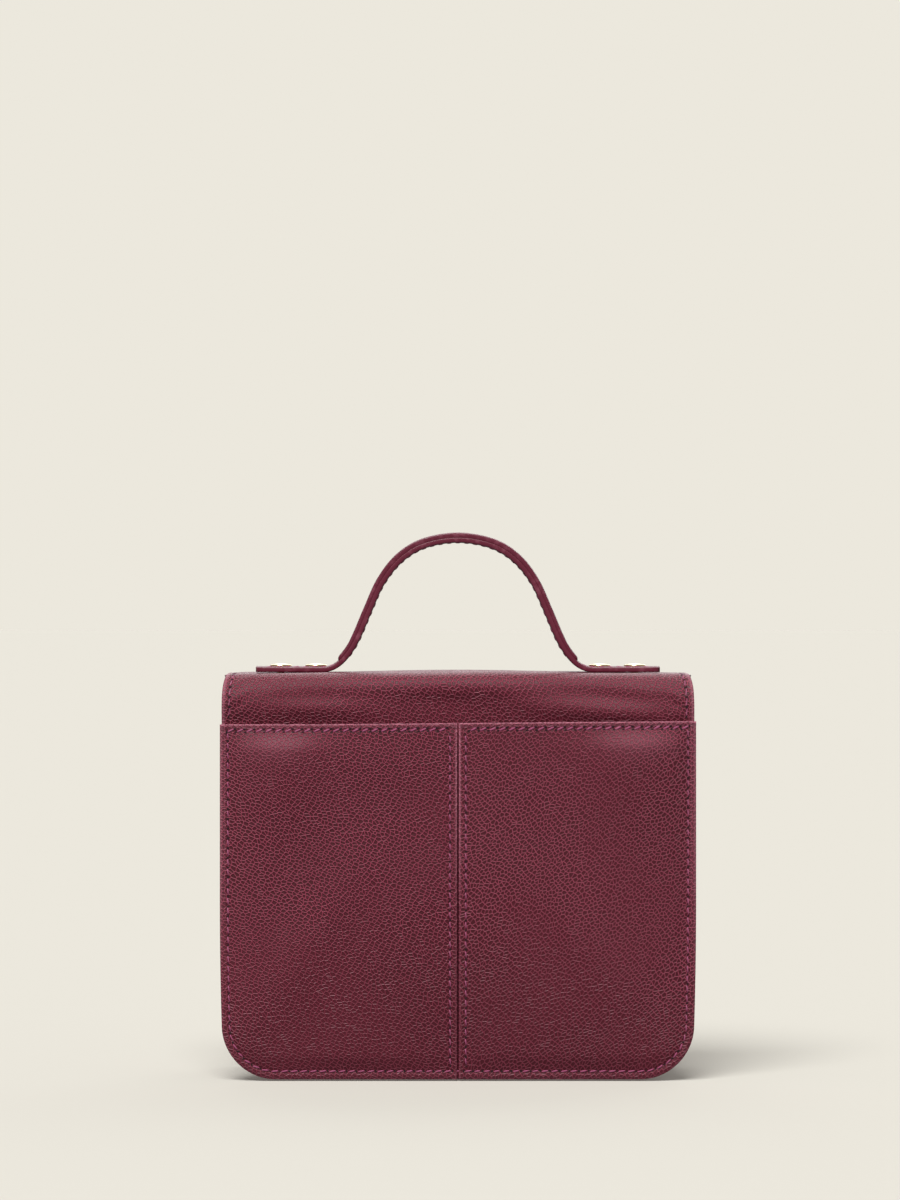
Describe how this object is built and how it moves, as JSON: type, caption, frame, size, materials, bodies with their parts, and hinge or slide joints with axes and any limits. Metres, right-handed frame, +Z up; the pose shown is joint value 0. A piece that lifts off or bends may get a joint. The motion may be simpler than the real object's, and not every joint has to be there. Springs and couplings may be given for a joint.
{
  "type": "satchel bag",
  "caption": "Small structured leather satchel with a riveted top handle, a rear slip pocket, a hinged flap and a turn lock.",
  "frame": {"origin": "middle of the bag's box, on the surface that it stands on", "axes": "+Z up, -Y out of the rear slip pocket, +Y out of the flap's lock, +X to the right seen from behind the pocket side"},
  "size_m": [0.1998, 0.0826, 0.2301],
  "materials": {
    "leather": "burgundy pebbled, satin",
    "lining_leather": "smooth burgundy split, matt",
    "lining_cloth": "plain twill",
    "zip_tape": "woven tape",
    "board": "raw fibre board",
    "gold": "polished pale gold plate",
    "nickel": "nickel plate"
  },
  "bodies": {
    "bag_body": {"rear_panel": "leather", "front_panel": "leather", "gusset": "leather", "rear_stiffener": "board", "front_stiffener": "board", "base_board": "board", "lining": "lining_cloth", "slip_pocket_left": "leather", "slip_pocket_right": "leather", "zip_facing": "leather", "zip_tape_upper": "zip_tape", "zip_tape_lower": "zip_tape", "zip_pocket_bag": "lining_cloth", "lock_base": "gold", "lock_base_back": "nickel"},
    "flap_top": {"flap_top": "leather", "flap_top_lining": "lining_leather", "handle_foot_left": "leather", "handle_foot_right": "leather", "rivet_outer_left": "gold", "rivet_inner_left": "gold", "rivet_inner_right": "gold", "rivet_outer_right": "gold", "rivet_cap_outer_left": "nickel", "rivet_cap_inner_left": "nickel", "rivet_cap_inner_right": "nickel", "rivet_cap_outer_right": "nickel"},
    "flap_front": {"flap_front": "leather", "flap_front_lining": "lining_leather", "lock_plate": "gold", "lock_plate_back": "nickel"},
    "handle": {"handle_strap": "leather"},
    "lock_knob": {"lock_knob": "gold"},
    "zip_slider": {"zip_slider": "gold"},
    "zip_pull": {"zip_pull": "gold"}
  },
  "joints": [
    {"name": "flap_rear_fold", "type": "hinge", "parent": "bag_body", "child": "flap_top", "pos_m": [0, -0.03445, 0.161], "axis": [1, 0, 0], "range_deg": [0, 150]},
    {"name": "flap_front_fold", "type": "hinge", "parent": "flap_top", "child": "flap_front", "pos_m": [0, 0.03565, 0.162], "axis": [1, 0, 0], "range_deg": [0, 90]},
    {"name": "handle_lean", "type": "hinge", "parent": "flap_top", "child": "handle", "pos_m": [0, 0, 0.1775], "axis": [1, 0, 0], "range_deg": [-25, 25], "stiffness_Nm_per_rad": 0.03},
    {"name": "lock_turn", "type": "hinge", "parent": "bag_body", "child": "lock_knob", "pos_m": [0, 0.03765, 0.082], "axis": [0, 1, 0], "range_deg": [0, 90]},
    {"name": "zip_run", "type": "slide", "parent": "bag_body", "child": "zip_slider", "axis": [1, 0, 0], "range_m": [0, 0.113]},
    {"name": "zip_pull_swing", "type": "hinge", "parent": "zip_slider", "child": "zip_pull", "pos_m": [-0.0565, -0.02395, 0.124], "axis": [1, 0, 0], "range_deg": [-4, 150]}
  ]
}
